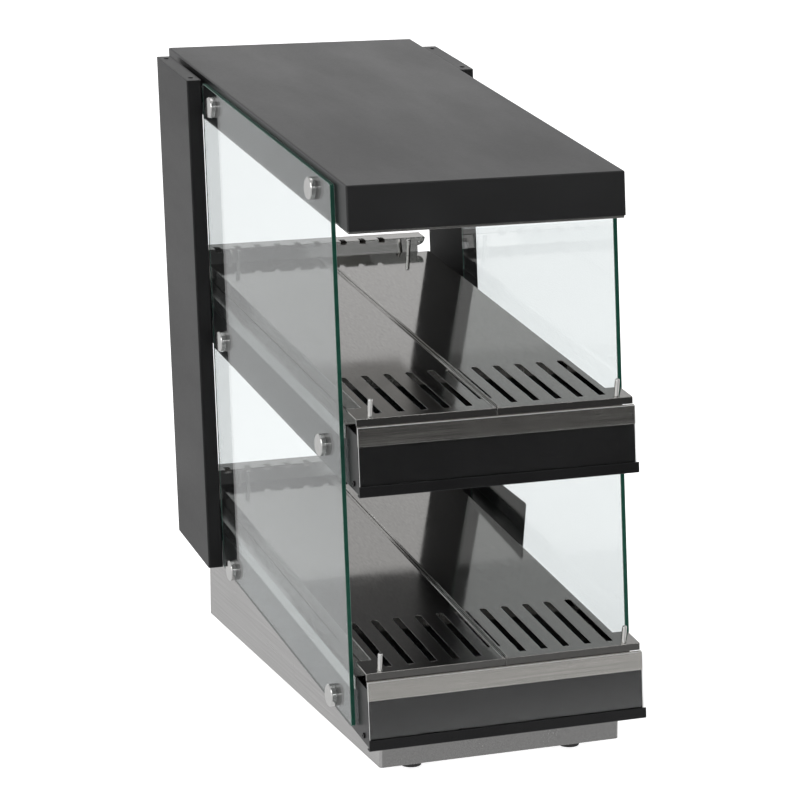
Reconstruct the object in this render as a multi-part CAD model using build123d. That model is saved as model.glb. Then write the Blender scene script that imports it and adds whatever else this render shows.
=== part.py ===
from build123d import *
import math
import os

os.makedirs("parts", exist_ok=True)

# Two-tier counter-top burger warming display: sloped shelves between two glass
# side panes, all uprights leaning back. Millimetres, +Z up, front towards -Y.

# ---------------------------------------------------------------- driving dimensions
SLOPE_DEG = 7.155          # shelves and cover fall towards the front
LEAN_DEG = 6.142           # fronts, panes and columns lean back
ORG_Y, ORG_Z = -287.8, 631.2   # front top edge of the cover

COVER_HALF = 158.6
COVER_LEN = 649.7
COVER_H = 47.5
COVER_T = 1.5

GLASS_IN, GLASS_T = 158.9, 5.0
GLASS_A0, GLASS_A1 = 36.4, 493.5
GLASS_TOP, GLASS_BOT = -7.5, -583.0

COL_IN, COL_OUT = 164.0, 182.0
COL_A0, COL_A1 = 493.9, 621.4
COL_TOP, COL_BOT = -4.2, -583.4
COL_T = 1.5

PLATE_UPPER, PLATE_LOWER = -241.0, -509.75   # plate top planes
PLATE_HALF = 158.4
PLATE_NARROW = 141.0       # behind the front ears
PLATE_A0, PLATE_STEP, PLATE_A1 = -2.95, 30.0, 560.4
RAIL_D = 17.5              # side rail flange below the plate plane
PLATE_T = 1.2

SLOT_PITCH, SLOT_FIRST, SLOT_W = 25.65, 25.8, 8.0
SLOT_A0, SLOT_A1 = 9.5, 128.0

HOUSE_HALF = 157.0
HOUSE_T = 1.0
HOUSE_A0, HOUSE_A1 = -3.5, 618.0
HOUSE_DEPTH = 81.2

TRAY_HALF = 145.0
PIN_X, PIN_A, PIN_R, PIN_H = 141.4, 2.4, 2.65, 19.7
PIN_REAR_X, PIN_REAR_A = 108.0, 549.0

STAND_A = (93.3, 452.3)
STAND_B = (-26.3, -299.5, -571.5)
CAP_R, CAP_L = 12.35, 6.0

BASE_HALF = 139.4
BASE_Y0, BASE_Y1, BASE_Z0 = -336.0, 283.1, 11.0
BASE_T = 1.5
FOOT_X, FOOT_Y = 93.0, (-306.0, 239.0)

# ---------------------------------------------------------------- helpers
TA = math.tan(math.radians(SLOPE_DEG))
TB = math.tan(math.radians(LEAN_DEG))
SLOPE_DIR = Vector(0, 1, TA).normalized()
LEAN_DIR = Vector(0, TB, 1).normalized()
NORMAL = Vector(0, -TA, 1).normalized()      # out of a plate
FORWARD = Vector(0, -1, TB).normalized()     # out of a front panel


def pt(x, a, b):
    """Point from the side offset, run along the slope and drop along the lean."""
    return Vector(x, ORG_Y + a + b * TB, ORG_Z + a * TA + b)


def prism(x0, x1, pts):
    face = Face(Wire.make_polygon([pt(x0, a, b) for a, b in pts], close=True))
    return extrude(face, amount=x1 - x0, dir=(1, 0, 0))


def slab(x0, x1, a0, a1, b0, b1):
    return prism(x0, x1, [(a0, b0), (a1, b0), (a1, b1), (a0, b1)])


def both(shape):
    return shape + mirror(shape, about=Plane.YZ)


def rod(x, a, b, direction, radius, length):
    plane = Plane(origin=pt(x, a, b), z_dir=direction)
    return plane * Cylinder(radius, length, align=(Align.CENTER, Align.CENTER, Align.MIN))


def nrod(x, a, level, up0, up1, radius):
    """Cylinder square to a shelf, from up0 to up1 above the plate plane."""
    return Plane(origin=pt(x, a, level) + NORMAL * up0, z_dir=NORMAL) * Cylinder(radius, up1 - up0, align=(Align.CENTER, Align.CENTER, Align.MIN))


def frod(x, a, b, back0, back1, radius):
    """Cylinder square to a front panel, from back0 to back1 behind the point."""
    return Plane(origin=pt(x, a, b) - FORWARD * back0, z_dir=FORWARD * -1) * Cylinder(radius, back1 - back0, align=(Align.CENTER, Align.CENTER, Align.MIN))


def xrod(x0, x1, a, b, radius):
    plane = Plane(origin=pt(x0, a, b), z_dir=(1, 0, 0))
    return plane * Cylinder(radius, x1 - x0, align=(Align.CENTER, Align.CENTER, Align.MIN))


def hexrod(x, a, b, direction, flats, length):
    plane = Plane(origin=pt(x, a, b), z_dir=direction)
    return plane * extrude(RegularPolygon(flats / math.sqrt(3), 6), amount=length)


def cube(x0, x1, y0, y1, z0, z1):
    return Pos((x0 + x1) / 2, (y0 + y1) / 2, (z0 + z1) / 2) * Box(x1 - x0, y1 - y0, z1 - z0)


def soften(shape, radius, pick):
    """Rounds the picked edges, and leaves them sharp where that fails."""
    edges = [e for e in shape.edges() if pick(e)]
    try:
        done = fillet(edges, radius)
        return done if done.is_valid else shape
    except Exception:
        return shape


def along(edge, direction, tol=1e-3):
    t = (edge.position_at(1) - edge.position_at(0)).normalized()
    return abs(abs(t.dot(Vector(*direction).normalized())) - 1) < tol


def group(shapes):
    return Compound(children=[s for shape in shapes for s in shape.solids()])


def save(name, shape):
    shape.label = name
    export_step(shape, f"parts/{name}.step")


# ---------------------------------------------------------------- top cover
outer = slab(-COVER_HALF, COVER_HALF, 0, COVER_LEN, -COVER_H, 0)
outer = soften(outer, 1.8, lambda e: along(e, LEAN_DIR) or (e.center().Z > pt(0, 0, -1).Z and abs(e.center().X) < 1 and along(e, (1, 0, 0)) and e.center().Z > pt(0, 0, -COVER_H / 2).Z) or (along(e, SLOPE_DIR) and e.center().Z > pt(0, COVER_LEN / 2, -COVER_H / 2).Z))
cover = outer - slab(-COVER_HALF + COVER_T, COVER_HALF - COVER_T, COVER_T, COVER_LEN - COVER_T, -COVER_H - 5, -COVER_T)
for a in STAND_A:
    cover -= xrod(-COVER_HALF - 2, COVER_HALF + 2, a, STAND_B[0], 3.3)
# cooling slots low in the rear wall
for i in range(9):
    x = -100 + 25 * i
    cover -= slab(x - 8, x + 8, COVER_LEN - 4, COVER_LEN + 4, -34, -31)
save("top_cover", cover)

# pan closing the cover from below, hanging 3 mm under its edge
P = COVER_HALF - COVER_T - 0.2
pan = slab(-P, P, 1.7, COVER_LEN - 1.7, -50.5, -16)
pan -= slab(-P + 1.2, P - 1.2, 2.9, COVER_LEN - 2.9, -49.3, 0)
pan -= slab(-P + 8, P - 8, 1, 3.5, -38, 0)
pan -= slab(-P + 8, P - 8, COVER_LEN - 3.5, COVER_LEN, -38, 0)
pan -= slab(-118, 118, 40, 64, -52, -48)
for a in STAND_A:
    pan -= xrod(-P - 2, P + 2, a, STAND_B[0], 3.3)
for i in range(8):
    x = -105 + 30 * i
    pan -= slab(x - 9, x + 9, 560, 563, -52, -48)
    pan -= slab(x - 9, x + 9, 570, 573, -52, -48)
save("cover_inner_panel", pan)

# light: opal lens, aluminium housing, board with diodes
lens = slab(-117.8, 117.8, 40.2, 63.8, -51.3, -49.2) + slab(-121, 121, 37, 67, -49.2, -48.0)
save("light_diffuser", lens)
led_case = slab(-123, 123, 36, 68, -47.9, -30) - slab(-121.5, 121.5, 37.3, 66.7, -50, -31.3)
save("led_housing", led_case)
board = slab(-115, 115, 46, 58, -33.0, -31.4)
for i in range(16):
    x = -108.75 + 14.5 * i
    board += slab(x - 1.8, x + 1.8, 50.2, 53.8, -34.0, -32.9)
save("led_strip", board)

# ---------------------------------------------------------------- columns
SPACER_ROWS = ((-24.0, COVER_HALF), (-283.0, HOUSE_HALF), (-548.0, HOUSE_HALF))
COL_SCREW_A = (520.0, 596.0)
column = slab(COL_IN, COL_OUT, COL_A0, COL_A1, COL_BOT, COL_TOP)
column = soften(column, 1.6, lambda e: along(e, LEAN_DIR))
column -= slab(COL_IN + COL_T, COL_OUT - COL_T, COL_A0 + COL_T, COL_A1 - COL_T, COL_BOT - 5, COL_TOP + 5)
for b, x in SPACER_ROWS:
    for a in COL_SCREW_A:
        column -= xrod(COL_IN - 1, COL_IN + 3, a, b, 2.7)
for b in (-33.0, -292.0, -557.0):
    column -= xrod(COL_IN - 1, COL_IN + 3, 558.0, b, 7.0)
save("column_left", mirror(column, about=Plane.YZ))
GUARD_SCREW_X, GUARD_SCREW_B = 174.0, (-500.0, -562.0)
for b in GUARD_SCREW_B:
    column -= frod(GUARD_SCREW_X, 492.6, b, -2, 6, 1.75)
save("column_right", column)

caps, cap_screws, spacers = [], [], []
g = 0.15
for b0, b1, up in ((COL_TOP - 2.0, COL_TOP, 1), (COL_BOT, COL_BOT + 2.0, -1)):
    plate = slab(COL_IN + COL_T + g, COL_OUT - COL_T - g, COL_A0 + COL_T + g, COL_A1 - COL_T - g, b0, b1)
    for a in (509.0, 611.0):
        top = b1 if up > 0 else b0
        d = LEAN_DIR * -up
        plate -= rod(173, a, top, d, 3.3, 1.25)
        plate -= rod(173, a, top + 3 * up, d, 1.7, 12)
        screw = rod(173, a, top - 0.1 * up, d, 3.1, 1.1) + rod(173, a, top - 1.2 * up, d, 1.55, 9)
        screw -= rod(173, a, top + 0.4 * up, d, 1.1, 1.1)
        cap_screws += [screw, mirror(screw, about=Plane.YZ)]
    caps += [plate, mirror(plate, about=Plane.YZ)]
save("column_caps", group(caps))
save("column_cap_screws", group(cap_screws))

for b, x in SPACER_ROWS:
    s = slab(x + 0.05, COL_IN - 0.05, 508, 608, b - 11, b + 9)
    s = soften(s, 3.0, lambda e: along(e, (1, 0, 0)))
    s -= xrod(x - 1, COL_IN + 1, 558.0, b - 9.0 if b > -100 else b - 9.0, 6.0)
    for a in COL_SCREW_A:
        s -= xrod(x - 1, COL_IN + 1, a, b, 2.7)
    spacers += [s, mirror(s, about=Plane.YZ)]
save("column_spacers", group(spacers))

# ---------------------------------------------------------------- glass panes
pane = slab(GLASS_IN, GLASS_IN + GLASS_T, GLASS_A0, GLASS_A1, GLASS_BOT, GLASS_TOP)
pane = soften(pane, 3.0, lambda e: along(e, (1, 0, 0)))
pane = soften(pane, 0.5, lambda e: not along(e, (1, 0, 0)))
for a in STAND_A:
    for b in STAND_B:
        pane -= xrod(GLASS_IN - 1, GLASS_IN + GLASS_T + 1, a, b, 5.0)
save("glass_right", pane)
save("glass_left", mirror(pane, about=Plane.YZ))

# polished stand-off caps, studs, sleeves in the glass, nuts inside
caps, studs, sleeves, nuts = [], [], [], []
GO = GLASS_IN + GLASS_T
for a in STAND_A:
    for row, b in enumerate(STAND_B):
        wall_in = COVER_HALF - COVER_T - 1.6 if row == 0 else HOUSE_HALF - HOUSE_T
        cap = xrod(GO + 0.05, GO + CAP_L, a, b, CAP_R)
        rim = [e for e in cap.edges() if e.geom_type == GeomType.CIRCLE and e.center().X > GO + 1]
        cap = chamfer(rim, 0.9)
        cap -= xrod(GO - 1, GO + 4.2, a, b, 3.05)
        stud = xrod(wall_in - 5.2, GO + 4.0, a, b, 3.0)
        sleeve = xrod(GLASS_IN + 0.05, GO, a, b, 4.9) - xrod(GLASS_IN - 1, GO + 1, a, b, 3.1)
        nut = Plane(origin=pt(wall_in - 4.6, a, b), z_dir=(1, 0, 0)) * extrude(RegularPolygon(10 / math.sqrt(3), 6), amount=4.5)
        nut -= xrod(wall_in - 9, wall_in + 1, a, b, 3.05)
        for lst, s in ((caps, cap), (studs, stud), (sleeves, sleeve), (nuts, nut)):
            lst.append(mirror(s, about=Plane.YZ))
            if not (lst is caps and row == 2 and a == STAND_A[1]):
                lst.append(s)
        if row == 2 and a == STAND_A[1]:
            # on the right this stud holds the side guard, with a nut outside it
            n = Plane(origin=pt(COL_IN + 1.5, a, b), z_dir=(1, 0, 0)) * extrude(RegularPolygon(10 / math.sqrt(3), 6), amount=4.5)
            nuts.append(n - xrod(COL_IN, COL_IN + 8, a, b, 3.05))
save("standoff_caps", group(caps))
save("standoff_studs", group(studs))
save("glass_sleeves", group(sleeves))
save("standoff_nuts", group(nuts))


# ---------------------------------------------------------------- shelf levels
def housing(level, lower):
    L = lambda d: level - d
    h, t = HOUSE_HALF, HOUSE_T
    # side wall, its top edge gripped by the rail; lower behind the rear bar
    sides = both(prism(h - t, h, [(HOUSE_A0, L(HOUSE_DEPTH)), (HOUSE_A1, L(HOUSE_DEPTH)), (HOUSE_A1, L(22.0)), (561.6, L(22.0)), (561.6, L(18.7)), (HOUSE_A0, L(18.7))]))
    floor = slab(-h, h, HOUSE_A0, HOUSE_A1, L(HOUSE_DEPTH), L(HOUSE_DEPTH - 1.2))
    back = slab(-h, h, HOUSE_A1 - 1.2, HOUSE_A1, L(HOUSE_DEPTH), L(22.0))
    # sunk rear deck carrying the bar, riser up to the plates
    deck = slab(-h, h, 560.9, HOUSE_A1, L(23.2), L(22.0))
    riser = slab(-139.5, 139.5, 560.9, 561.9, L(23.2), L(3.3))
    # front beam under the plate ears, cross member between the walls
    beam = slab(-146, 146, -1.2, 14.0, L(2.9), L(1.7)) + slab(-146, 146, -1.2, 0.0, L(32.2), L(1.7)) + slab(-h + 0.5, h - 0.5, -1.2, 32.0, L(32.2), L(31.2))
    body = sides + floor + back + deck + riser + beam
    row = 2 if lower else 1
    for a in STAND_A:
        body -= xrod(-h - 2, h + 2, a, STAND_B[row], 3.3)
    for a in COL_SCREW_A:
        body -= xrod(-h - 2, h + 2, a, SPACER_ROWS[row][0], 2.7)
    body -= xrod(-h - 2, h + 2, 558.0, SPACER_ROWS[row][0] - 9.0, 6.0)
    for x in (-PIN_X, PIN_X):
        body -= nrod(x, PIN_A, level, -6, -1, 1.55)
    # screw holes low in the front of the side walls
    body -= xrod(-h - 2, h + 2, 16.0, L(74.0), 1.7)
    # bolts of the rear bar
    for x in (-100, 0, 100):
        body -= nrod(x, 573.0, level, -28, -20, 1.7)
    # cooling slots in the back wall
    for i in range(8):
        x = -112 + 32 * i
        for d in (30, 38, 46):
            body -= slab(x - 11, x + 11, HOUSE_A1 - 3, HOUSE_A1 + 3, L(d + 3), L(d))
    if lower:
        # cable passage into the plinth
        body -= slab(-60, 60, 575, 600, L(HOUSE_DEPTH + 2), L(HOUSE_DEPTH - 3))
    return body


def side_rail(level):
    L = lambda d: level - d
    a0, a1 = 33.0, 560.0
    h = PLATE_HALF
    rail = slab(136.0, h, a0, a1, L(RAIL_D + 1.0), L(RAIL_D))             # flange beside the plate
    rail += slab(h - 1.0, h, a0, 506.0, L(32.4), L(RAIL_D))               # outer leg over the wall
    rail = soften(rail, 0.8, lambda e: along(e, SLOPE_DIR) and abs(e.center().X - h) < 0.01 and e.center().Z > pt(0, (a0 + a1) / 2, L(RAIL_D + 0.3)).Z)
    rail += slab(h - 3.6, h - 2.8, a0, a1, L(42.0), L(RAIL_D + 0.5))      # inner leg
    rail += slab(h - 10.9, h - 2.8, a0 + 2, a1 - 8, L(42.0), L(41.0))     # running leg
    rail += slab(h - 10.9, h - 9.9, a0 + 2, a1 - 8, L(42.0), L(37.0))     # upturned lip
    return rail


def plate(level, side):
    L = lambda d: level - d
    h, n, t = PLATE_HALF, PLATE_NARROW, PLATE_T
    top = slab(0.5, h, PLATE_A0, PLATE_STEP, L(t), L(0)) + slab(0.5, n, PLATE_STEP - 1, PLATE_A1, L(t), L(0))
    top = soften(top, 2.5, lambda e: along(e, LEAN_DIR) and ((e.center().X > h - 0.1 and e.center().Y > pt(0, 15, level).Y) or (e.center().X > n - 0.1 and e.center().Y > pt(0, 500, level).Y)))
    front = slab(0.5, h, PLATE_A0, PLATE_A0 + t, L(7.7), L(0))
    skirt = slab(n - 1.0, n, PLATE_STEP + 0.2, PLATE_A1 - 2.7, L(16.3), L(0))
    p = top + front + skirt
    # rounded outer bends
    p = soften(p, 0.9, lambda e: along(e, (1, 0, 0)) and (e.center() - pt(e.center().X, PLATE_A0, L(0))).length < 0.2)
    p = soften(p, 0.9, lambda e: along(e, SLOPE_DIR) and abs(e.center().X - n) < 0.01 and (e.center() - pt(n, (PLATE_STEP + PLATE_A1) / 2, L(0))).length < 6)
    # rounded hem along the centre seam
    hem_len = (PLATE_A1 - PLATE_A0 - 2) * math.sqrt(1 + TA * TA)
    p += rod(2.0, PLATE_A0 + 1.0, L(-0.1), SLOPE_DIR, 1.5, hem_len)
    # crumb slots
    for k in range(5):
        x = SLOT_FIRST + k * SLOT_PITCH
        p -= slab(x - SLOT_W / 2, x + SLOT_W / 2, SLOT_A0, SLOT_A1 - 4, L(4), L(-4))
        p -= nrod(x, SLOT_A1 - 4, level, -4, 4, SLOT_W / 2)
    p -= slab(4.6, 7.6, 28, SLOT_A1 - 2, L(4), L(-0.9))
    p -= nrod(PIN_X, PIN_A, level, -4, 4, 3.2)
    p -= nrod(PIN_REAR_X, PIN_REAR_A, level, -4, 4, 3.2)
    return p if side > 0 else mirror(p, about=Plane.YZ)


def rear_bar(level):
    L = lambda d: level - d
    x0, x1, x2, up = -150.0, 126.0, 136.0, -17.0
    bar = slab(x0, x1, 562.1, 584.0, L(22.0), L(up)) + slab(x1 - 1, x2, 562.1, 584.0, L(up + 1.2), L(up))
    bar = soften(bar, 1.1, lambda e: along(e, (1, 0, 0)) and (e.center() - pt(e.center().X, 562.1, L(up))).length < 0.3)
    bar -= slab(x0 - 1, x1 + 1, 563.3, 585.0, L(20.8), L(up + 1.2))
    # stiffening return along the rear of the top flange
    bar += slab(x0, x1, 582.8, 584.0, L(up + 15.0), L(up + 0.2))
    # rounded ear at the end of the web
    bar += slab(x1 - 1, x2, 562.1, 563.3, L(up + 10.0), L(up + 0.9)) & rod(x1, 561, L(up) , (0, 1, TA), 10.0, 6)
    # notches over the front bend
    for x in (-128.4, -102.5, -77.0, -51.5, -26.0, -1.0, 29.0, 54.0, 79.0):
        bar -= slab(x - 4, x + 4, 561, 572, L(up + 4.0), L(up - 3))
    # bolt holes in the foot
    for x in (-100, 0, 100):
        bar -= nrod(x, 573.0, level, -24, -19, 1.7)
    return bar


def crumb_tray(level, rear):
    L = lambda d: level - d
    w = TRAY_HALF
    tray = slab(-w, w, -3.9, rear, L(70), L(35)) - slab(-w + 1, w - 1, -2.9, rear - 1, L(69), L(30))
    tray += both(slab(w - 0.5, w + 8.5, 6, rear, L(36), L(35)) + slab(w + 7.5, w + 8.5, 6, rear, L(40.8), L(35)))
    for x in (-110, 0, 110):
        tray -= frod(x, -4.0, L(50), -1, 3, 1.6)
    return tray


def drawer_front(level):
    L = lambda d: level - d
    f = slab(-158.8, 158.8, -5.2, -4.0, L(80.1), L(8.5))
    f += slab(-160.5, 160.5, -10.65, -4.0, L(80.1), L(78.9))
    f += slab(-160.5, 160.5, -10.65, -9.45, L(80.1), L(68.6))
    f = soften(f, 0.9, lambda e: along(e, (1, 0, 0)) and (e.center() - pt(e.center().X, -10.65, L(80.1))).length < 0.3)
    for x in (-110, 0, 110):
        f += frod(x, -4.0, L(50), -0.2, 6, 1.5)
    return f


def label_strip(level):
    L = lambda d: level - d
    s = slab(-158.8, 158.8, -6.4, -5.3, L(28.2), L(7.7)) + slab(-158.8, 158.8, -6.4, -4.2, L(8.4), L(7.7))
    return soften(s, 0.4, lambda e: along(e, (1, 0, 0)) and (e.center() - pt(e.center().X, -6.4, L(7.7))).length < 0.2)


def label_cover(level):
    L = lambda d: level - d
    return slab(-158.8, 158.8, -8.4, -6.8, L(78.5), L(8.0))


pins, hplates, mats, blankets, shields, bulbs, sidescrews, rails, barbolts = [], [], [], [], [], [], [], [], []
for name, level, lower in (("upper", PLATE_UPPER, False), ("lower", PLATE_LOWER, True)):
    L = lambda d: level - d
    save(f"{name}_housing", housing(level, lower))
    r = side_rail(level)
    rails += [r, mirror(r, about=Plane.YZ)]
    save(f"plate_{name}_right", plate(level, 1))
    save(f"plate_{name}_left", plate(level, -1))
    save(f"rear_bar_{name}", rear_bar(level))
    save(f"crumb_tray_{name}", crumb_tray(level, 551.5 if lower else 556.0))
    save(f"drawer_front_{name}", drawer_front(level))
    save(f"label_strip_{name}", label_strip(level))
    save(f"label_cover_{name}", label_cover(level))
    dn = []
    for x in (-110, 0, 110):
        n = Plane(origin=pt(x, -4.0, L(50)) - FORWARD * 1.15, z_dir=FORWARD * -1) * extrude(RegularPolygon(5.5 / math.sqrt(3), 6), amount=2.4)
        dn.append(n - frod(x, -4.0, L(50), -1, 10, 1.55))
    save(f"drawer_nuts_{name}", group(dn))
    # polished dowels: front pair on the beam, rear pair on the heated deck
    for x, a in ((PIN_X, PIN_A), (PIN_REAR_X, PIN_REAR_A)):
        p = nrod(x, a, level, -1.64, PIN_H, PIN_R)
        ends = [e for e in p.edges() if e.geom_type == GeomType.CIRCLE and e.center().Z > pt(x, a, L(-10)).Z]
        p = fillet(ends, 1.6)
        p += nrod(x, a, level, -4.6, -1.6, 1.5)
        pins += [p, mirror(p, about=Plane.YZ)]
    # heated deck, mat, insulation, shield, sensor bulb
    hp = slab(-139.0, 139.0, 142, 560.0, L(3.2), L(1.7))
    for x in (-PIN_REAR_X, PIN_REAR_X):
        hp -= nrod(x, PIN_REAR_A, level, -6, -1, 1.55)
    hplates.append(hp)
    mats.append(slab(-130, 130, 150, 538, L(5.3), L(3.3)))
    b = slab(-132, 132, 150, 538, L(20.0), L(5.4)) - slab(-36, 36, 345, 355, L(13), L(5))
    blankets.append(b)
    sh = slab(-134, 134, 146, 542, L(21.1), L(3.4)) - slab(-133, 133, 147, 541, L(20.1), L(0))
    sh += both(slab(133.5, 139, 146, 542, L(17.4), L(16.4)))
    shields.append(sh)
    bulbs.append(Plane(origin=pt(-32, 350, L(8.8)), z_dir=(1, 0, 0)) * Cylinder(3.0, 64, align=(Align.CENTER, Align.CENTER, Align.MIN)))
    s = xrod(HOUSE_HALF - 4, HOUSE_HALF, 16.0, L(74.0), 1.6) + xrod(HOUSE_HALF + 0.02, HOUSE_HALF + 1.6, 16.0, L(74.0), 3.1)
    s -= xrod(HOUSE_HALF + 0.8, HOUSE_HALF + 3, 16.0, L(74.0), 1.2)
    sidescrews += [s, mirror(s, about=Plane.YZ)]
    for x in (-100, 0, 100):
        sc = nrod(x, 573.0, level, -20.3, -18.5, 2.8) + nrod(x, 573.0, level, -27.4, -20.2, 1.55)
        barbolts.append(sc)
save("side_rails", group(rails))
save("stop_pins", group(pins))
save("heater_plates", group(hplates))
save("heater_mats", group(mats))
save("insulation", group(blankets))
save("heat_shields", group(shields))
save("sensor_bulbs", group(bulbs))
save("small_screws", group(sidescrews + barbolts))

# ---------------------------------------------------------------- plinth
B_TOP = PLATE_LOWER - HOUSE_DEPTH - 0.1


def top_z(y):
    a = y - ORG_Y - B_TOP * TB
    return ORG_Z + a * TA + B_TOP


def wedge(x, y0, y1, z0, drop):
    pts = [Vector(-x, y0, z0), Vector(-x, y1, z0), Vector(-x, y1, top_z(y1) - drop), Vector(-x, y0, top_z(y0) - drop)]
    return extrude(Face(Wire.make_polygon(pts, close=True)), amount=2 * x, dir=(1, 0, 0))


plinth = wedge(BASE_HALF, BASE_Y0, BASE_Y1, BASE_Z0, 0)
plinth = soften(plinth, 3.0, lambda e: along(e, (0, 0, 1)))
plinth -= wedge(BASE_HALF - BASE_T, BASE_Y0 + BASE_T, BASE_Y1 - BASE_T, BASE_Z0 - 5, BASE_T)
plinth -= slab(-60, 60, 575, 600, B_TOP - 12, B_TOP + 5)
# opening behind the control panel
plinth -= cube(-104, 104, BASE_Y1 - 4, BASE_Y1 + 4, 24, 100)
PANEL_SCREWS = [(sx * 112.0, z) for sx in (-1, 1) for z in (27.0, 101.0)]


def yrod(x, y, z, radius, length):
    """Cylinder running to the rear from y."""
    return Plane(origin=(x, y, z), z_dir=(0, 1, 0)) * Cylinder(radius, length, align=(Align.CENTER, Align.CENTER, Align.MIN))


for x, z in PANEL_SCREWS:
    plinth -= yrod(x, BASE_Y1 - 4, z, 1.7, 8)
save("base_plinth", plinth)

bp = cube(-BASE_HALF + 1.8, BASE_HALF - 1.8, BASE_Y0 + 1.8, BASE_Y1 - 1.8, BASE_Z0, BASE_Z0 + 11)
bp = soften(bp, 2.0, lambda e: along(e, (0, 0, 1)))
bp -= cube(-BASE_HALF + 3.0, BASE_HALF - 3.0, BASE_Y0 + 3.0, BASE_Y1 - 3.0, BASE_Z0 + 1.2, BASE_Z0 + 30)
feet, fscrews = [], []
for x in (-FOOT_X, FOOT_X):
    for y in FOOT_Y:
        bp -= Pos(x, y, BASE_Z0) * Cylinder(2.2, 10)
        f = Pos(x, y, 0) * Cone(11.4, 12.8, BASE_Z0 - 0.05, align=(Align.CENTER, Align.CENTER, Align.MIN))
        low = [e for e in f.edges() if e.geom_type == GeomType.CIRCLE and e.center().Z < 0.1]
        f = fillet(low, 1.2)
        f -= Pos(x, y, -1) * Cylinder(4.6, 4.5, align=(Align.CENTER, Align.CENTER, Align.MIN))
        f -= Pos(x, y, -1) * Cylinder(2.15, 14, align=(Align.CENTER, Align.CENTER, Align.MIN))
        feet.append(f)
        s = Pos(x, y, 1.0) * Cylinder(4.0, 2.4, align=(Align.CENTER, Align.CENTER, Align.MIN)) + Pos(x, y, 3.3) * Cylinder(2.0, 11, align=(Align.CENTER, Align.CENTER, Align.MIN))
        s -= Pos(x, y, 0.0) * Cylinder(1.6, 2.2, align=(Align.CENTER, Align.CENTER, Align.MIN))
        fscrews.append(s)
for i in range(10):
    x = -90 + 20 * i
    bp -= cube(x - 2, x + 2, -40, 20, BASE_Z0 - 1, BASE_Z0 + 3)
save("base_bottom_plate", bp)
save("rubber_feet", group(feet))
save("feet_screws", group(fscrews))

# ---------------------------------------------------------------- side guard, right
# thin sheet outside the right pane, with flanges on the column and at its foot
jc = prism(COL_IN + 0.2, COL_IN + 1.4, [(319.6, -473.3), (493.8, -482.3), (493.8, COL_BOT), (349.0, COL_BOT)])
jc = soften(jc, 3.0, lambda e: along(e, (1, 0, 0)) and e.center().Z > pt(0, 319.6, -476).Z and e.center().Y < pt(0, 330, -480).Y)
jc += slab(COL_IN + 1.3, COL_OUT - 0.5, 492.6, 493.8, COL_BOT, -486.0)
jc += slab(COL_IN + 1.3, COL_OUT - 0.5, 352.0, 493.0, COL_BOT, COL_BOT + 1.2)
js = []
for b in GUARD_SCREW_B:
    jc -= frod(GUARD_SCREW_X, 492.6, b, -2, 6, 1.75)
    sc = frod(GUARD_SCREW_X, 492.6, b, -1.7, -0.05, 2.9) + frod(GUARD_SCREW_X, 492.6, b, -0.5, 8, 1.6)
    sc -= frod(GUARD_SCREW_X, 492.6, b, -4, -0.9, 1.1)
    js.append(sc)
jc -= xrod(COL_IN - 1, COL_IN + 3, STAND_A[1], STAND_B[2], 3.3)
save("side_cover", jc)
save("side_cover_screws", group(js))

# ---------------------------------------------------------------- rear control panel
Y = BASE_Y1
panel = cube(-120, 120, Y + 0.05, Y + 1.55, 14, 109)
panel = soften(panel, 4.0, lambda e: along(e, (0, 1, 0)))
KNOBS = {"upper": (38.0, 58.0), "lower": (-12.0, 58.0)}
LAMPS = [(38.0, 94.0), (-12.0, 94.0)]
MAIN, LIGHT = (88.0, 62.0), (-56.0, 62.0)
INLET = (-88.0, 44.0)
for x, z in KNOBS.values():
    panel -= yrod(x, Y - 2, z, 3.6, 6)
for x, z in LAMPS:
    panel -= yrod(x, Y - 2, z, 4.1, 6)
for x, z, w, h in (MAIN + (19.2, 28.2), LIGHT + (19.2, 28.2)):
    panel -= cube(x - w / 2, x + w / 2, Y - 2, Y + 4, z - h / 2, z + h / 2)
panel -= cube(INLET[0] - 13.7, INLET[0] + 13.7, Y - 2, Y + 4, INLET[1] - 10.2, INLET[1] + 10.2)
pscrews = []
for x, z in PANEL_SCREWS:
    panel -= yrod(x, Y - 2, z, 1.7, 6)
    s = yrod(x, Y - 5, z, 1.6, 6.6) + yrod(x, Y + 1.57, z, 3.0, 1.6)
    s -= yrod(x, Y + 2.4, z, 1.2, 3)
    s = s + yrod(x, Y + 1.5, z, 1.6, 0.5)
    pscrews.append(s)
# engraved scale ticks round the knobs
for x, z in KNOBS.values():
    for i in range(10):
        ang = math.radians(225 - i * 30)
        tick = Plane(origin=(x + 19.2 * math.cos(ang), Y + 1.25, z + 19.2 * math.sin(ang)), z_dir=(0, 1, 0), x_dir=(math.cos(ang), 0, math.sin(ang))) * Box(3.4, 0.7, 1.2)
        panel -= tick
save("control_panel", panel)
save("control_panel_screws", group(pscrews))

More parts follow.
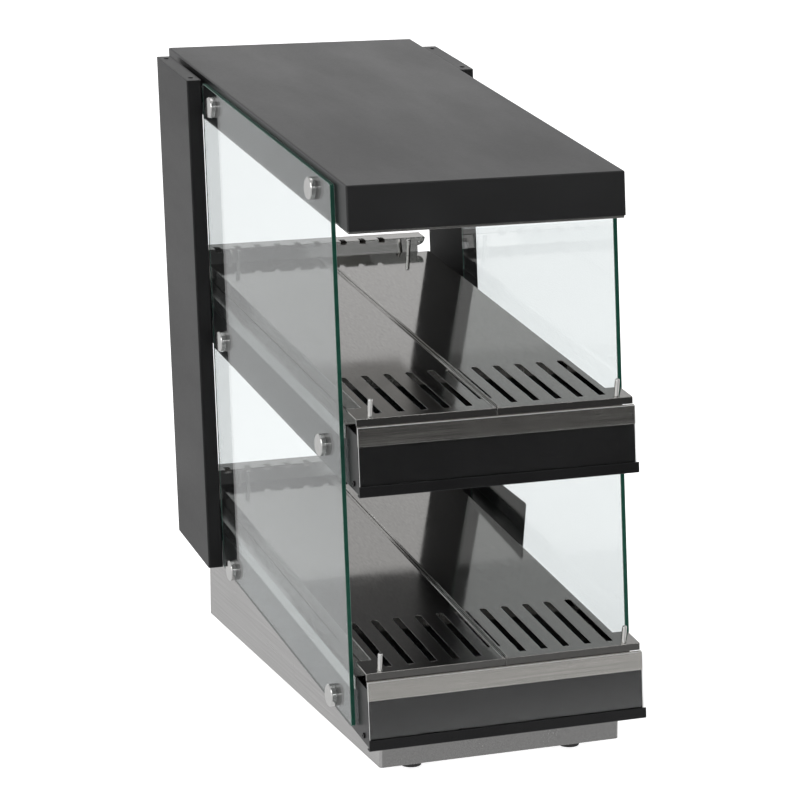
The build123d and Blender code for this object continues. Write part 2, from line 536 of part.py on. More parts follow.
frames, rockers = [], {}
for key, (x, z) in (("main", MAIN), ("light", LIGHT)):
    fr = cube(x - 11.2, x + 11.2, Y + 1.6, Y + 3.6, z - 15.5, z + 15.5)
    fr = soften(fr, 1.0, lambda e: along(e, (0, 1, 0)))
    fr += cube(x - 9.4, x + 9.4, Y - 22, Y + 1.8, z - 13.9, z + 13.9)
    fr -= cube(x - 7.6, x + 7.6, Y - 9, Y + 6, z - 12.2, z + 12.2)
    for sx in (-1, 1):
        fr += cube(x + sx * 4.0 - 0.4, x + sx * 4.0 + 0.4, Y - 29, Y - 21.9, z - 7, z - 3)
        fr += cube(x + sx * 4.0 - 0.4, x + sx * 4.0 + 0.4, Y - 29, Y - 21.9, z + 3, z + 7)
    # trunnions the rocker turns on
    fr -= Plane(origin=(x - 8.6, Y - 1.0, z), z_dir=(1, 0, 0)) * Cylinder(1.35, 17.2, align=(Align.CENTER, Align.CENTER, Align.MIN))
    frames.append(fr)
    pv = Vector(x, Y - 1.0, z)
    prof = [(7.2, -10.4), (4.6, 0.0), (7.2, 10.4), (-3.0, 7.4), (-4.5, 0.0), (-3.0, -7.4)]
    pts = [Vector(x - 7.3, pv.Y + py, pv.Z + pz) for py, pz in prof]
    rk = extrude(Face(Wire.make_polygon(pts, close=True)), amount=14.6, dir=(1, 0, 0))
    rk = soften(rk, 0.6, lambda e: e.center().Y > Y + 2)
    rk += Plane(origin=(x - 8.4, Y - 1.0, z), z_dir=(1, 0, 0)) * Cylinder(1.3, 16.8, align=(Align.CENTER, Align.CENTER, Align.MIN))
    tilt = Rotation(0, 0, 0)
    rk = Pos(pv.X, pv.Y, pv.Z) * Rot(11, 0, 0) * Pos(-pv.X, -pv.Y, -pv.Z) * rk
    rockers[key] = rk
save("switch_frames", group(frames))
save("main_switch_rocker", rockers["main"])
save("light_switch_rocker", rockers["light"])

bodies = []
for key, (x, z) in KNOBS.items():
    tb = cube(x - 18, x + 18, Y - 34, Y - 1.8, z - 18, z + 18)
    tb = soften(tb, 2.0, lambda e: along(e, (0, 1, 0)))
    tb += yrod(x, Y - 2, z, 3.5, 2.9)
    tb -= yrod(x, Y - 8, z, 2.55, 20)
    bodies.append(tb)
    k = yrod(x, Y + 2.2, z, 14.5, 14.0)
    rim = [e for e in k.edges() if e.geom_type == GeomType.CIRCLE and e.center().Y > Y + 10]
    k = fillet(rim, 1.6)
    k += yrod(x, Y + 1.9, z, 16.4, 3.0)
    for i in range(18):
        ang = math.radians(20 * i + 10)
        k -= yrod(x + 15.3 * math.cos(ang), Y + 5.2, z + 15.3 * math.sin(ang), 1.3, 14)
    k += cube(x - 1.0, x + 1.0, Y + 4.8, Y + 16.6, z + 6.0, z + 13.2)
    k += yrod(x, Y - 7.5, z, 2.5, 12)
    # pointer starts at the lowest setting
    k = Pos(x, Y, z) * Rot(0, 135, 0) * Pos(-x, -Y, -z) * k
    save(f"knob_{key}", k)
save("thermostat_bodies", group(bodies))

lamps = []
for x, z in LAMPS:
    l = yrod(x, Y - 16, z, 3.9, 18) + yrod(x, Y + 1.6, z, 5.6, 1.4)
    dome = Plane(origin=(x, Y + 3.0, z), z_dir=(0, 1, 0)) * Cylinder(4.4, 2.2, align=(Align.CENTER, Align.CENTER, Align.MIN))
    rim = [e for e in dome.edges() if e.geom_type == GeomType.CIRCLE and e.center().Y > Y + 4]
    l += fillet(rim, 1.6)
    lamps.append(l)
save("pilot_lamps", group(lamps))

ix, iz = INLET
inlet = cube(ix - 16.5, ix + 16.5, Y + 1.6, Y + 4.6, iz - 13.0, iz + 13.0)
inlet = soften(inlet, 2.5, lambda e: along(e, (0, 1, 0)))
inlet += cube(ix - 13.4, ix + 13.4, Y - 20, Y + 1.8, iz - 9.9, iz + 9.9)
cav = [(-11.8, -8.0), (11.8, -8.0), (11.8, 3.6), (7.6, 8.0), (-7.6, 8.0), (-11.8, 3.6)]
cavity = extrude(Face(Wire.make_polygon([Vector(ix + u, Y - 12, iz + w) for u, w in cav], close=True)), amount=20, dir=(0, 1, 0))
inlet -= cavity
ipins = []
for u, w in ((-7.0, -1.6), (0.0, 2.4), (7.0, -1.6)):
    inlet -= cube(ix + u - 1.05, ix + u + 1.05, Y - 24, Y, iz + w - 2.05, iz + w + 2.05)
    ipins.append(cube(ix + u - 1.0, ix + u + 1.0, Y - 27, Y + 1.0, iz + w - 2.0, iz + w + 2.0))
save("power_inlet", inlet)
save("inlet_pins", group(ipins))

tb = cube(-70, 30, 190, 210, BASE_Z0 + 1.3, BASE_Z0 + 4)
for i in range(8):
    x = -64 + 12 * i
    blk = cube(x - 5.2, x + 5.2, 188, 212, BASE_Z0 + 3.9, BASE_Z0 + 18)
    blk -= Pos(x, 200, BASE_Z0 + 18) * Cylinder(2.4, 8)
    tb += blk
tb += cube(-69, 25, 196, 204, BASE_Z0 + 3.9, BASE_Z0 + 10)
save("terminal_block", tb)
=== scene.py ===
import math
import bpy
from mathutils import Matrix, Vector


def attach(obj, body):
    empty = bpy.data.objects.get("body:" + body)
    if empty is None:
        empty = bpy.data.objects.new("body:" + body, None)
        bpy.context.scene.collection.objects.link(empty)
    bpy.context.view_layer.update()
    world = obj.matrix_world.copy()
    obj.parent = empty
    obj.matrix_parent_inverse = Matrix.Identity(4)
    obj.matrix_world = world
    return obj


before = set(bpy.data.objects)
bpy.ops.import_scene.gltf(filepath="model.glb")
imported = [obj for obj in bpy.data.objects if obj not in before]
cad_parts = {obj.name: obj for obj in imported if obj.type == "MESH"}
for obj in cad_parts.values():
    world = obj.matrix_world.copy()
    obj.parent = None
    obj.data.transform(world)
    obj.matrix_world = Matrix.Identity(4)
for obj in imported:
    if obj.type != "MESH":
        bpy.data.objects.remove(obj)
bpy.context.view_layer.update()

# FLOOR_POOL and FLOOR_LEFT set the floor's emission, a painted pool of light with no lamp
FLOOR_POOL, FLOOR_LEFT = 0.44, 0.38    # extra light on the floor behind and to the left
ROOM_LOW = 0.72                        # room below the horizon, sides and rear
FRONT_LOW, FRONT_MID = 0.42, 0.055     # customer side below and at the horizon
SLOPE = math.radians(7.155)
LEAN = math.radians(6.142)


# ------------------------------------------------------------------ node helpers
class Nodes:
    """Small wrapper so that a material reads top to bottom."""

    def __init__(self, name):
        self.mat = bpy.data.materials.new(name)
        self.mat.use_nodes = True
        self.t = self.mat.node_tree
        self.t.nodes.clear()
        self.out = self.t.nodes.new("ShaderNodeOutputMaterial")
        self.bsdf = self.t.nodes.new("ShaderNodeBsdfPrincipled")
        self.link(self.bsdf.outputs[0], self.out.inputs["Surface"])
        self.coord = self.t.nodes.new("ShaderNodeTexCoord").outputs["Object"]

    def link(self, a, b):
        self.t.links.new(a, b)

    def put(self, socket, value):
        if isinstance(value, bpy.types.NodeSocket):
            self.link(value, socket)
        else:
            socket.default_value = value

    def set(self, **values):
        for key, value in values.items():
            self.put(self.bsdf.inputs[key.replace("_", " ")], value)

    def mapping(self, scale=(1, 1, 1), rotation=(0, 0, 0), location=(0, 0, 0)):
        n = self.t.nodes.new("ShaderNodeMapping")
        self.link(self.coord, n.inputs["Vector"])
        n.inputs["Scale"].default_value = scale
        n.inputs["Rotation"].default_value = rotation
        n.inputs["Location"].default_value = location
        return n.outputs[0]

    def noise(self, vector, scale=1.0, detail=3.0, rough=0.55, distortion=0.0):
        n = self.t.nodes.new("ShaderNodeTexNoise")
        self.link(vector, n.inputs["Vector"])
        n.inputs["Scale"].default_value = scale
        n.inputs["Detail"].default_value = detail
        n.inputs["Roughness"].default_value = rough
        n.inputs["Distortion"].default_value = distortion
        return n.outputs["Fac"]

    def ramp(self, fac, low, high, a=0.0, b=1.0):
        n = self.t.nodes.new("ShaderNodeMapRange")
        n.clamp = True
        self.link(fac, n.inputs["Value"])
        n.inputs["From Min"].default_value = a
        n.inputs["From Max"].default_value = b
        n.inputs["To Min"].default_value = low
        n.inputs["To Max"].default_value = high
        return n.outputs[0]

    def math(self, op, a, b=0.0):
        n = self.t.nodes.new("ShaderNodeMath")
        n.operation = op
        self.put(n.inputs[0], a)
        self.put(n.inputs[1], b)
        return n.outputs[0]

    def mix(self, fac, a, b):
        n = self.t.nodes.new("ShaderNodeMix")
        n.data_type = "RGBA"
        self.put(n.inputs[0], fac)
        self.put(n.inputs[6], a)
        self.put(n.inputs[7], b)
        return n.outputs[2]

    def bevel(self, radius, samples=4):
        n = self.t.nodes.new("ShaderNodeBevel")
        n.samples = samples
        n.inputs["Radius"].default_value = radius
        return n.outputs[0]

    def bump(self, height, strength, distance, normal=None):
        n = self.t.nodes.new("ShaderNodeBump")
        self.put(n.inputs["Height"], height)
        n.inputs["Strength"].default_value = strength
        n.inputs["Distance"].default_value = distance
        if normal is not None:
            self.link(normal, n.inputs["Normal"])
        return n.outputs[0]

    def edge(self, bevelled):
        """0 on flat ground, towards 1 where the bevel turns the surface."""
        geo = self.t.nodes.new("ShaderNodeNewGeometry")
        dot = self.t.nodes.new("ShaderNodeVectorMath")
        dot.operation = "DOT_PRODUCT"
        self.link(bevelled, dot.inputs[0])
        self.link(geo.outputs["Normal"], dot.inputs[1])
        return self.ramp(dot.outputs["Value"], 1.0, 0.0, 0.86, 0.995)


def rgb(r, g, b):
    return (r, g, b, 1.0)


# ------------------------------------------------------------------ materials
def black_coat(name="black_coat", base=0.0105, rough=0.33, radius=0.0009, peel=0.16, matt_side=0.0, gloss=0.5):
    """Satin powder coat: fine orange peel, faint cloudiness, lighter grey in patches along the bevelled edges.
    Faces turned to matt_side (-1 or 1 along X) are left dull, as sprayed from one side."""
    m = Nodes(name)
    fine = m.noise(m.mapping((1, 1, 1)), 1500, 2, 0.6)
    mid = m.noise(m.mapping((1, 1, 1)), 240, 3, 0.5)
    big = m.noise(m.mapping((1, 0.35, 1)), 9, 4, 0.6)
    bev = m.bevel(radius)
    edge = m.edge(bev)
    # lighter grey mixed in patches along the bevelled edges
    lighter_edge_patches = m.math("MULTIPLY", edge, m.ramp(m.noise(m.mapping(), 130, 4, 0.7), 0, 0.75, 0.46, 0.66))
    col = m.mix(m.ramp(big, 0, 1, 0.3, 0.75), rgb(base, base, base * 1.06), rgb(base * 1.35, base * 1.35, base * 1.42))
    col = m.mix(lighter_edge_patches, col, rgb(0.10, 0.10, 0.105))
    r = m.math("ADD", m.ramp(big, rough - 0.035, rough + 0.06, 0.3, 0.7), m.ramp(mid, -0.02, 0.03))
    if matt_side:
        geo = m.t.nodes.new("ShaderNodeNewGeometry")
        sep = m.t.nodes.new("ShaderNodeSeparateXYZ")
        m.link(geo.outputs["Normal"], sep.inputs[0])
        dull = m.ramp(m.math("MULTIPLY", sep.outputs[0], matt_side), 0.0, 1.0, 0.7, 0.95)
        r = m.math("ADD", r, m.math("MULTIPLY", dull, 0.45))
    m.set(Base_Color=col, Roughness=r)
    m.bsdf.inputs["Specular IOR Level"].default_value = gloss
    n1 = m.bump(fine, peel, 0.00012, bev)
    m.set(Normal=m.bump(mid, peel * 0.6, 0.00025, n1))
    return m.mat


def brushed(name, direction="x", base=(0.60, 0.59, 0.57), rough=0.26, streak=0.10, smear=0.05, radius=0.0006, bump=0.20):
    """Brushed stainless sheet: long fine grain, cloudy handling marks, painted highlight along bevelled edges."""
    m = Nodes(name)
    rot = (-SLOPE, 0, 0) if direction in ("slope", "x") else ((LEAN, 0, 0) if direction == "lean" else (0, 0, 0))
    scale = {"x": (5, 900, 900), "slope": (900, 5, 900), "lean": (900, 900, 5), "level": (900, 5, 900), "z": (900, 900, 5), "xlevel": (5, 900, 900)}[direction]
    grain = m.noise(m.mapping(scale, rot), 1.0, 4, 0.65)
    coarse = m.noise(m.mapping(tuple(s * 0.22 if s > 100 else s * 0.6 for s in scale), rot), 1.0, 3, 0.6)
    cloud = m.noise(m.mapping((1, 1, 1)), 14, 4, 0.6, 0.4)
    bev = m.bevel(radius)
    edge = m.edge(bev)
    dark = rgb(*(c * 0.80 for c in base))
    light = rgb(*(min(1, c * 1.12) for c in base))
    col = m.mix(m.ramp(grain, 0, 1, 0.3, 0.7), dark, light)
    col = m.mix(m.ramp(coarse, 0.0, 0.45, 0.35, 0.7), col, rgb(*base))
    # painted highlight: bevelled edges are mixed towards a light steel colour
    col = m.mix(m.math("MULTIPLY", edge, 0.5), col, rgb(0.82, 0.81, 0.79))
    r = m.math("ADD", m.ramp(grain, rough - streak / 2, rough + streak / 2, 0.3, 0.7), m.ramp(cloud, -smear, smear, 0.3, 0.7))
    m.set(Base_Color=col, Roughness=r, Metallic=1.0)
    m.set(Normal=m.bump(grain, bump, 0.00006, bev))
    return m.mat


def polished(name="polished_steel", rough=0.07, base=(0.64, 0.64, 0.63)):
    m = Nodes(name)
    fine = m.noise(m.mapping((60, 900, 900)), 1.0, 3, 0.6)
    cloud = m.noise(m.mapping(), 160, 3, 0.6)
    bev = m.bevel(0.0003)
    m.set(Base_Color=m.mix(m.ramp(cloud, 0, 1, 0.3, 0.7), rgb(*(c * 0.93 for c in base)), rgb(*base)), Metallic=1.0,
          Roughness=m.math("ADD", m.ramp(cloud, rough - 0.03, rough + 0.04, 0.3, 0.7), m.ramp(fine, -0.015, 0.03)))
    m.set(Normal=m.bump(fine, 0.05, 0.00003, bev))
    return m.mat


def glass_pane(name="pane_glass"):
    """Clear toughened glass, green where one looks into its edge, with a painted pale highlight on edge faces turned
    to the rear.
    """
    m = Nodes(name)
    geo = m.t.nodes.new("ShaderNodeNewGeometry")
    sep = m.t.nodes.new("ShaderNodeSeparateXYZ")
    m.link(geo.outputs["Normal"], sep.inputs[0])
    side = m.math("ABSOLUTE", sep.outputs[0])
    is_edge = m.ramp(side, 1.0, 0.0, 0.60, 0.97)
    arris = m.math("MULTIPLY", m.ramp(side, 0.0, 1.0, 0.12, 0.35), is_edge)
    smear = m.noise(m.mapping((1, 1, 1)), 22, 5, 0.65, 0.6)
    mark = m.noise(m.mapping((1, 0.4, 1)), 75, 4, 0.7)
    depth = m.noise(m.mapping((1, 3, 3)), 30, 4, 0.6)
    edge_tint_and_highlight = m.mix(m.ramp(depth, 0, 1, 0.3, 0.7), rgb(0.008, 0.062, 0.040), rgb(0.016, 0.090, 0.062))
    edge_tint_and_highlight = m.mix(arris, edge_tint_and_highlight, rgb(0.20, 0.40, 0.33))
    # painted highlight: edge faces whose normal points to the rear (+Y) are mixed towards pale green-grey
    edge_tint_and_highlight = m.mix(m.ramp(sep.outputs[1], 0.0, 1.0, 0.3, 0.8), edge_tint_and_highlight, rgb(0.60, 0.70, 0.67))
    col = m.mix(is_edge, rgb(0.705, 0.740, 0.744), edge_tint_and_highlight)
    rough = m.math("ADD", m.ramp(smear, 0.0, 0.016, 0.52, 0.8), m.math("MULTIPLY", is_edge, m.ramp(mark, 0.12, 0.24, 0.3, 0.7)))
    m.set(Base_Color=col, Roughness=rough, Transmission_Weight=m.ramp(is_edge, 1.0, 0.12))
    m.bsdf.inputs["IOR"].default_value = 1.52
    return m.mat


def acrylic(name="clear_acrylic"):
    m = Nodes(name)
    geo = m.t.nodes.new("ShaderNodeNewGeometry")
    sep = m.t.nodes.new("ShaderNodeSeparateXYZ")
    m.link(geo.outputs["Normal"], sep.inputs[0])
    front = m.math("ABSOLUTE", sep.outputs[1])
    is_edge = m.ramp(front, 1.0, 0.0, 0.3, 0.9)
    scuff = m.noise(m.mapping((6, 60, 60)), 1.0, 5, 0.7)
    col = m.mix(is_edge, rgb(0.97, 0.975, 0.975), rgb(0.86, 0.87, 0.865))
    m.set(Base_Color=col, Roughness=m.math("ADD", m.ramp(scuff, 0.012, 0.05, 0.45, 0.8), m.math("MULTIPLY", is_edge, 0.35)),
          Transmission_Weight=m.ramp(is_edge, 1.0, 0.25))
    m.bsdf.inputs["IOR"].default_value = 1.49
    return m.mat


def plastic(name, base, rough, grain=900.0, depth=0.00008, radius=0.0004, coat=0.0):
    m = Nodes(name)
    fine = m.noise(m.mapping(), grain, 3, 0.6)
    big = m.noise(m.mapping(), 35, 4, 0.6)
    bev = m.bevel(radius)
    edge = m.edge(bev)
    col = m.mix(m.ramp(big, 0, 1, 0.3, 0.75), rgb(*(c * 0.85 for c in base)), rgb(*(min(1, c * 1.18) for c in base)))
    # painted highlight: bevelled edges are mixed towards a lighter copy of the base colour
    col = m.mix(m.math("MULTIPLY", edge, 0.35), col, rgb(*(min(1, c * 1.8 + 0.02) for c in base)))
    m.set(Base_Color=col, Roughness=m.ramp(big, rough - 0.05, rough + 0.07, 0.3, 0.7))
    m.bsdf.inputs["Coat Weight"].default_value = coat
    m.set(Normal=m.bump(fine, 0.25, depth, bev))
    return m.mat


def rubber(name="foot_rubber"):
    m = Nodes(name)
    fine = m.noise(m.mapping(), 1100, 3, 0.7)
    dust = m.noise(m.mapping(), 90, 5, 0.7)
    col = m.mix(m.ramp(dust, 0, 0.6, 0.5, 0.8), rgb(0.016, 0.016, 0.016), rgb(0.06, 0.058, 0.055))
    m.set(Base_Color=col, Roughness=m.ramp(dust, 0.62, 0.85, 0.3, 0.7))
    m.set(Normal=m.bump(fine, 0.3, 0.0001, m.bevel(0.0005)))
    return m.mat


def metal(name, base, rough, radius=0.0003, scale=700.0):
    m = Nodes(name)
    fine = m.noise(m.mapping(), scale, 3, 0.6)
    big = m.noise(m.mapping(), 60, 4, 0.6)
    col = m.mix(m.ramp(big, 0, 1, 0.3, 0.7), rgb(*(c * 0.86 for c in base)), rgb(*(min(1, c * 1.1) for c in base)))
    m.set(Base_Color=col, Metallic=1.0, Roughness=m.ramp(fine, rough - 0.06, rough + 0.08, 0.3, 0.7))
    m.set(Normal=m.bump(fine, 0.12, 0.00005, m.bevel(radius)))
    return m.mat


def opal(name="opal_lens"):
    m = Nodes(name)
    fine = m.noise(m.mapping(), 500, 2, 0.5)
    m.set(Base_Color=m.mix(m.ramp(fine, 0, 1, 0.3, 0.7), rgb(0.84, 0.84, 0.81), rgb(0.90, 0.90, 0.87)), Roughness=m.ramp(fine, 0.28, 0.4, 0.3, 0.7))
    m.bsdf.inputs["Subsurface Weight"].default_value = 0.2
    m.bsdf.inputs["Subsurface Scale"].default_value = 0.002
    m.set(Normal=m.bump(fine, 0.1, 0.00005, m.bevel(0.0004)))
    return m.mat


COAT = black_coat()
COAT_COVER = black_coat("black_coat_cover", base=0.0105, rough=0.32, radius=0.0006)
# painted shade: darker copies of the black coat (base 0.008) for the drawer fronts and both columns; the left column
# also reflects less and the right one is duller on faces turned to -X
COAT_FRONT_SHADE = black_coat("black_coat_front_painted_shade", base=0.008, rough=0.20, radius=0.0005, peel=0.06)
COAT_LEFT_SHADE = black_coat("black_coat_left_column_painted_shade", base=0.008, gloss=0.3)
COAT_RIGHT_SHADE = black_coat("black_coat_right_column_painted_shade", base=0.008, rough=0.33, matt_side=-1.0)
PLATE = brushed("stainless_plate", "slope", base=(0.47, 0.46, 0.445), rough=0.075, streak=0.035, smear=0.02, bump=0.06)
RAIL = brushed("stainless_rail", "slope", base=(0.50, 0.495, 0.485), rough=0.16, streak=0.06)
BAR = brushed("stainless_bar", "x", base=(0.58, 0.57, 0.555), rough=0.09, streak=0.05, smear=0.02, bump=0.08)
STRIP = brushed("stainless_strip", "x", base=(0.52, 0.50, 0.472), rough=0.17, streak=0.07, smear=0.03, bump=0.07, radius=0.0009)
PLINTH = brushed("stainless_plinth", "level", base=(0.48, 0.475, 0.47), rough=0.24, streak=0.05, smear=0.03, bump=0.06)
PAN = brushed("stainless_pan", "slope", base=(0.55, 0.54, 0.52), rough=0.30)
# painted shade: a darker copy of the stainless (base 0.30) for the underside of the cover
CEILING_SHADE = brushed("stainless_ceiling_painted_shade", "slope", base=(0.30, 0.295, 0.285), rough=0.34)
PANEL = brushed("stainless_panel", "xlevel", base=(0.60, 0.595, 0.585), rough=0.30, radius=0.0003)
STEEL = polished()
PIN = polished("polished_pin", 0.10, (0.76, 0.755, 0.74))
PANE = glass_pane()
ACRYLIC = acrylic()
RUBBER = rubber()
ZINC = metal("zinc_screw", (0.58, 0.58, 0.57), 0.32)
ALU = metal("aluminium_part", (0.74, 0.75, 0.76), 0.38)
BRASS = metal("brass_part", (0.72, 0.56, 0.28), 0.30)
BLACK_SCREW = metal("black_screw", (0.06, 0.06, 0.062), 0.36)
BLACK_PLASTIC = plastic("black_plastic", (0.022, 0.022, 0.024), 0.42)
KNOB = plastic("knob_plastic", (0.020, 0.020, 0.022), 0.34, grain=1300)
SILICONE = plastic("silicone_mat", (0.40, 0.08, 0.04), 0.6)
FIBRE = plastic("fibre_board", (0.80, 0.77, 0.70), 0.85, grain=400, depth=0.0004)
CIRCUIT = plastic("white_board", (0.80, 0.80, 0.77), 0.4)
NYLON = plastic("natural_nylon", (0.78, 0.79, 0.77), 0.45)
AMBER = plastic("amber_lens", (0.70, 0.22, 0.02), 0.14, coat=0.5)
OPAL = opal()

FINISH = {
    "base_plinth": PLINTH, "base_bottom_plate": PLINTH, "rubber_feet": RUBBER, "feet_screws": ZINC,
    "lower_housing": COAT, "upper_housing": COAT, "side_rails": RAIL,
    "plate_upper_left": PLATE, "plate_upper_right": PLATE, "plate_lower_left": PLATE, "plate_lower_right": PLATE,
    "rear_bar_upper": BAR, "rear_bar_lower": BAR, "stop_pins": PIN,
    "crumb_tray_upper": PAN, "crumb_tray_lower": PAN, "drawer_front_upper": COAT_FRONT_SHADE, "drawer_front_lower": COAT_FRONT_SHADE,
    "label_strip_upper": STRIP, "label_strip_lower": STRIP, "label_cover_upper": ACRYLIC, "label_cover_lower": ACRYLIC,
    "drawer_nuts_upper": ZINC, "drawer_nuts_lower": ZINC,
    "heater_plates": ALU, "heater_mats": SILICONE, "insulation": FIBRE, "heat_shields": PAN, "sensor_bulbs": BRASS,
    "top_cover": COAT_COVER, "cover_inner_panel": CEILING_SHADE, "light_diffuser": OPAL, "led_housing": ALU, "led_strip": CIRCUIT,
    "column_left": COAT_LEFT_SHADE, "column_right": COAT_RIGHT_SHADE, "column_caps": COAT, "column_cap_screws": BLACK_SCREW, "column_spacers": COAT,
    "glass_left": PANE, "glass_right": PANE, "standoff_caps": STEEL, "standoff_studs": ZINC, "standoff_nuts": ZINC, "glass_sleeves": NYLON,
    "side_cover": COAT, "side_cover_screws": BLACK_SCREW,
    "control_panel": PANEL, "control_panel_screws": ZINC, "switch_frames": BLACK_PLASTIC,
    "main_switch_rocker": BLACK_PLASTIC, "light_switch_rocker": BLACK_PLASTIC,
    "thermostat_bodies": BLACK_PLASTIC, "knob_upper": KNOB, "knob_lower": KNOB, "pilot_lamps": AMBER,
    "power_inlet": BLACK_PLASTIC, "inlet_pins": BRASS, "terminal_block": NYLON, "small_screws": BLACK_SCREW,
}
for node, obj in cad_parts.items():
    mat = FINISH[node]
    if not obj.material_slots:
        obj.data.materials.append(mat)
    for s in obj.material_slots:
        s.material = mat

# ------------------------------------------------------------------ marks on the controls
Y_PANEL = 0.2831 + 0.00155
WHITE_INK = plastic("white_ink", (0.78, 0.78, 0.76), 0.5)
BLACK_INK = plastic("black_ink", (0.02, 0.02, 0.02), 0.45)


def text_mesh(body, size, thick):
    """Vertices and faces of a flat line of text round its own centre."""
    curve = bpy.data.curves.new("text", "FONT")
    curve.body = body
    curve.size = size
    curve.extrude = thick
    curve.resolution_u = 4
    curve.align_x = "CENTER"
    curve.align_y = "CENTER"
    o = bpy.data.objects.new("text", curve)
    bpy.context.scene.collection.objects.link(o)
    bpy.context.view_layer.update()
    mesh = bpy.data.meshes.new_from_object(o.evaluated_get(bpy.context.evaluated_depsgraph_get()))
    data = [v.co.copy() for v in mesh.vertices], [list(q.vertices) for q in mesh.polygons]
    bpy.data.objects.remove(o)
    bpy.data.curves.remove(curve)
    bpy.data.meshes.remove(mesh)
    return data


def inked(name, marks, body, mat):
    """One piece from many marks: (text, size, thickness, matrix)."""
    verts, faces = [], []
    for text, size, thick, matrix in marks:
        vs, fs = text_mesh(text, size, thick)
        k = len(verts)
        verts += [matrix @ v for v in vs]
        faces += [[k + i for i in q] for q in fs]
    mesh = bpy.data.meshes.new(name)
    mesh.from_pydata([tuple(v) for v in verts], [], faces)
    mesh.materials.append(mat)
    o = bpy.data.objects.new(name, mesh)
    bpy.context.scene.collection.objects.link(o)
    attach(o, body)
    return o


def facing_back(x, y, z):
    """Frame for text read from behind the object."""
    return Matrix(((-1, 0, 0, x), (0, 0, 1, y), (0, 1, 0, z), (0, 0, 0, 1)))


dial = []
for kx, kz in ((0.038, 0.058), (-0.012, 0.058)):
    for i in range(10):
        ang = math.radians(225 - i * 30)
        dial.append((str(i), 0.0034, 0.00004, facing_back(kx - 0.0228 * math.cos(ang), Y_PANEL, kz + 0.0228 * math.sin(ang))))
inked("dial_numbers", dial, "frame", BLACK_INK)

for key, body, kx in (("main", "main_rocker", 0.088), ("light", "light_rocker", -0.056)):
    pivot = Vector((kx, 0.2831 - 0.001, 0.062))
    turn = Matrix.Rotation(math.radians(11), 4, "X")
    marks = []
    for text, z, tilt in (("I", 0.0054, 14.04), ("O", -0.0054, -14.04)):
        local = Matrix.Translation((0, 0.0046 + 0.0026 * 0.0054 / 0.0104 + 0.00004, z)) @ Matrix.Rotation(math.radians(-tilt), 4, "X")
        marks.append((text, 0.0046, 0.00006, Matrix.Translation(pivot) @ turn @ local @ facing_back(0, 0, 0)))
    inked(key + "_rocker_marks", marks, body, WHITE_INK)

# pointer line let into each knob's rib
for body, kx, kz in (("upper_knob", 0.038, 0.058), ("lower_knob", -0.012, 0.058)):
    outline = []
    for z_end, start in ((0.0121, 0.0), (0.0071, 180.0)):
        for i in range(9):
            ang = math.radians(start + 22.5 * i)
            outline.append((0.00052 * math.cos(ang), z_end + 0.00052 * math.sin(ang)))
    k = len(outline)
    turn = Matrix.Translation((kx, 0, kz)) @ Matrix.Rotation(math.radians(135), 4, "Y")
    verts = [tuple(turn @ Vector((x, y, z))) for y in (0.2831 + 0.0164, 0.2831 + 0.01668) for x, z in outline]
    faces = [tuple(range(k)), tuple(range(2 * k - 1, k - 1, -1))] + [(i, k + i, k + (i + 1) % k, (i + 1) % k) for i in range(k)]
    mesh = bpy.data.meshes.new(body + "_pointer")
    mesh.from_pydata(verts, [], faces)
    mesh.validate()
    mesh.materials.append(WHITE_INK)
    o = bpy.data.objects.new(body + "_pointer", mesh)
    bpy.context.scene.collection.objects.link(o)
    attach(o, body)

# ------------------------------------------------------------------ floor and light
bpy.ops.mesh.primitive_plane_add(size=30, location=(0, 0, 0))
floor = bpy.context.object
floor.name = "floor"
for corner in floor.data.vertices:
    corner.co.y = max(corner.co.y, -4.2)
m = Nodes("floor_white")
n = m.noise(m.mapping(), 3, 3, 0.5)
# painted pool of light: the floor glows by emission behind the object, softer to the front and the left
along_view = m.t.nodes.new("ShaderNodeVectorMath")
along_view.operation = "DOT_PRODUCT"
m.link(m.coord, along_view.inputs[0])
along_view.inputs[1].default_value = (0.3511, 0.9363, 0)
across_view = m.t.nodes.new("ShaderNodeVectorMath")
across_view.operation = "DOT_PRODUCT"
m.link(m.coord, across_view.inputs[0])
across_view.inputs[1].default_value = (0.9363, -0.3511, 0)
u, v = along_view.outputs["Value"], across_view.outputs["Value"]
rear = m.ramp(u, 0.0, 1.0, -0.85, -0.42)
left = m.ramp(m.math("ADD", v, m.math("MULTIPLY", m.math("ADD", u, 3.367), 0.135)), 0.0, 1.0, -0.30, -0.03)
painted_light_pool = m.math("MULTIPLY", rear, m.math("ADD", m.math("MULTIPLY", left, FLOOR_POOL), FLOOR_LEFT))
pale = m.mix(m.ramp(n, 0, 1, 0.3, 0.7), rgb(0.90, 0.90, 0.90), rgb(0.92, 0.92, 0.92))
m.set(Base_Color=pale, Roughness=0.8, Emission_Strength=painted_light_pool)
m.bsdf.inputs["Emission Color"].default_value = (1, 1, 1, 1)
m.bsdf.inputs["Specular IOR Level"].default_value = 0.1
floor.data.materials.append(m.mat)
floor.visible_glossy = False    # metal mirrors the room, not the bright sweep

world = bpy.data.worlds.new("studio")
bpy.context.scene.world = world
world.use_nodes = True
wt = world.node_tree
wt.nodes.clear()
wout = wt.nodes.new("ShaderNodeOutputWorld")
bg = wt.nodes.new("ShaderNodeBackground")
wt.links.new(bg.outputs[0], wout.inputs[0])
wc = wt.nodes.new("ShaderNodeTexCoord")
wsep = wt.nodes.new("ShaderNodeSeparateXYZ")
wt.links.new(wc.outputs["Generated"], wsep.inputs[0])


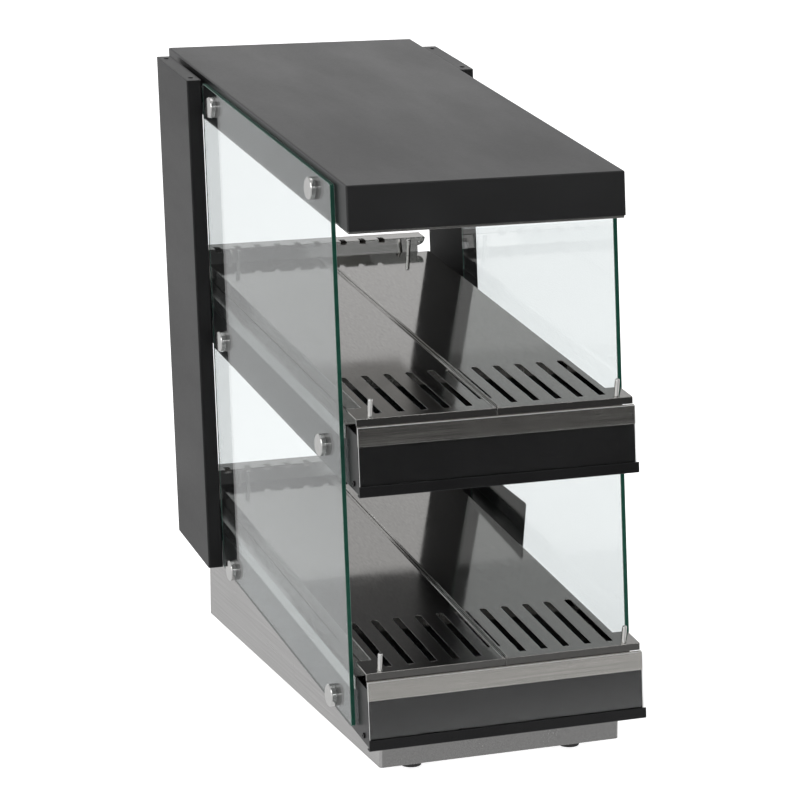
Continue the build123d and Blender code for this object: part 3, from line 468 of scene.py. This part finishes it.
def world_step(socket, a, b, low, high):
    wr = wt.nodes.new("ShaderNodeMapRange")
    wr.interpolation_type = "SMOOTHSTEP"
    wt.links.new(socket, wr.inputs["Value"])
    wr.inputs["From Min"].default_value = a
    wr.inputs["From Max"].default_value = b
    wr.inputs["To Min"].default_value = low
    wr.inputs["To Max"].default_value = high
    return wr.outputs[0]


def world_math(op, a, b):
    n = wt.nodes.new("ShaderNodeMath")
    n.operation = op
    for socket, value in zip(n.inputs, (a, b)):
        if isinstance(value, bpy.types.NodeSocket):
            wt.links.new(value, socket)
        else:
            socket.default_value = value
    return n.outputs[0]


# white room all round, a large dark screen on the customer side
wx, wy, wz = wsep.outputs
white_room = world_math("MULTIPLY", world_step(wz, -0.08, 0.06, ROOM_LOW, 1.05), world_step(wz, 0.12, 0.50, 1.0, 0.52))
dark_screen = world_step(wz, -0.22, -0.04, FRONT_LOW, FRONT_MID)
is_screen = world_math("MULTIPLY", world_math("MULTIPLY", world_step(wx, -0.14, 0.06, 0.0, 1.0), world_step(wx, 0.74, 0.90, 1.0, 0.0)),
                       world_math("MULTIPLY", world_step(wy, -0.66, -0.40, 1.0, 0.0), world_step(wz, 0.42, 0.62, 1.0, 0.0)))
# one narrow soft box high on the customer side
tube = world_math("MULTIPLY", world_math("MULTIPLY", world_step(wz, 0.29, 0.305, 0.0, 1.0), world_step(wz, 0.335, 0.35, 1.0, 0.0)),
                  world_math("MULTIPLY", world_step(wx, -0.45, -0.35, 0.0, 1.0), world_step(wx, 0.50, 0.60, 1.0, 0.0)))
tube = world_math("MULTIPLY", tube, world_step(wy, -0.60, -0.50, 5.0, 0.0))
room = world_math("ADD", world_math("MULTIPLY", is_screen, dark_screen), world_math("MULTIPLY", world_math("SUBTRACT", 1.0, is_screen), white_room))
wt.links.new(world_math("ADD", room, tube), bg.inputs["Strength"])
bg.inputs["Color"].default_value = (1, 1, 1, 1)


def area(name, location, target, size, power, size_y=None):
    light = bpy.data.lights.new(name, "AREA")
    light.energy = power
    light.size = size
    if size_y:
        light.shape = "RECTANGLE"
        light.size_y = size_y
    o = bpy.data.objects.new(name, light)
    bpy.context.scene.collection.objects.link(o)
    o.location = location
    o.rotation_euler = (Vector(target) - Vector(location)).to_track_quat("-Z", "Y").to_euler()
    return o


area("top_soft", (-0.3, 0.6, 2.6), (0, 0, 0.3), 2.0, 9)
area("left_soft", (-2.4, -0.6, 1.5), (0, 0, 0.35), 1.2, 7)

# ------------------------------------------------------------------ camera
cam_data = bpy.data.cameras.new("camera")
cam = bpy.data.objects.new("camera", cam_data)
bpy.context.scene.collection.objects.link(cam)
cam.location = (-1.1744, -3.1560, 1.0806)
cam.rotation_euler = Vector((0.3428, 0.9140, -0.2169)).to_track_quat("-Z", "Y").to_euler()
cam_data.sensor_width = 36.0
cam_data.lens = 133.6
cam_data.clip_end = 60
bpy.context.scene.camera = cam

scene = bpy.context.scene
scene.view_settings.view_transform = "Standard"
scene.view_settings.look = "None"
scene.view_settings.exposure = 0.0
